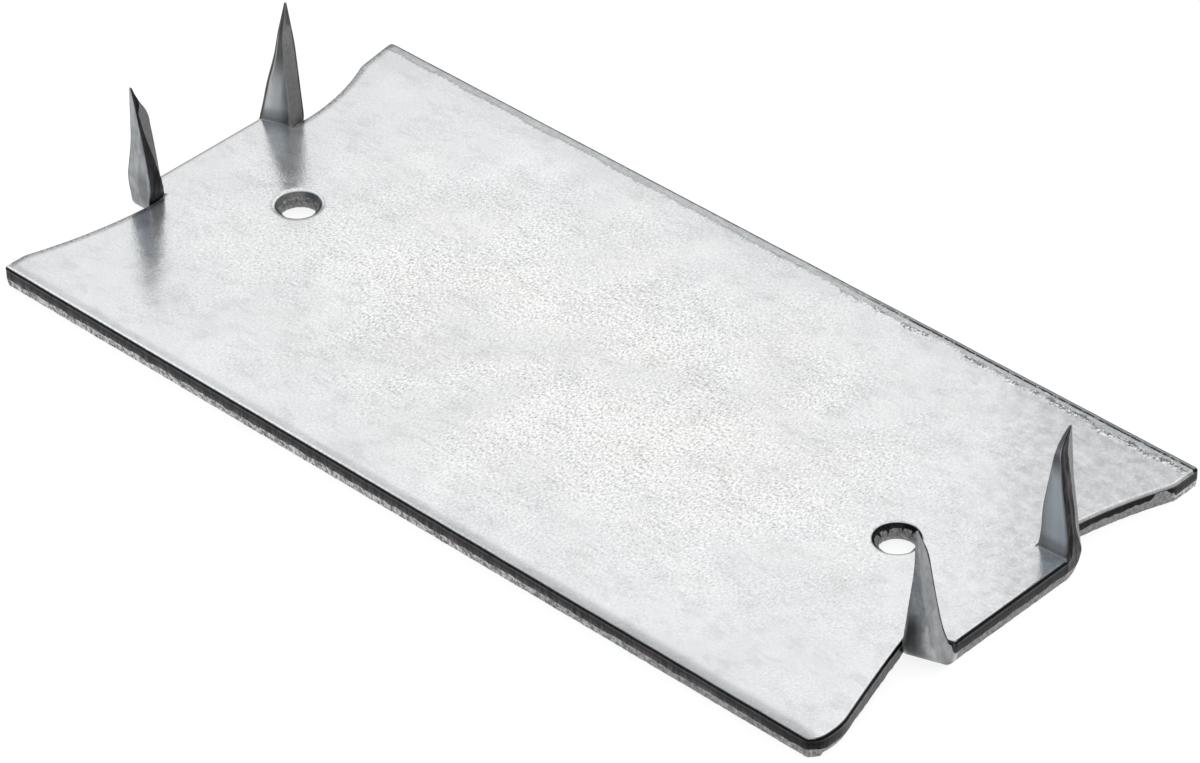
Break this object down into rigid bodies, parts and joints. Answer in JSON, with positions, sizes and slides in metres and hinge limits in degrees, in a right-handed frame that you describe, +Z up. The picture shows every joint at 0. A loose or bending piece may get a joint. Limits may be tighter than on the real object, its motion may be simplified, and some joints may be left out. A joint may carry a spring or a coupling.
{
  "type": "nail protector plate",
  "caption": "Flat galvanised steel plate with nail holes and sharp prongs folded up at its ends, fixed over a stud to shield pipes and cables from nails and screws.",
  "frame": {"origin": "middle of the plate's underside, on which it lies", "axes": "+X along the plate, +Y across it, +Z up, the way the prongs point"},
  "size_m": [0.0772, 0.0382, 0.0111],
  "materials": {
    "galvanised_steel": "hot-dip galvanised, satin"
  },
  "bodies": {
    "root": {"protector_plate": "galvanised_steel"}
  },
  "joints": []
}
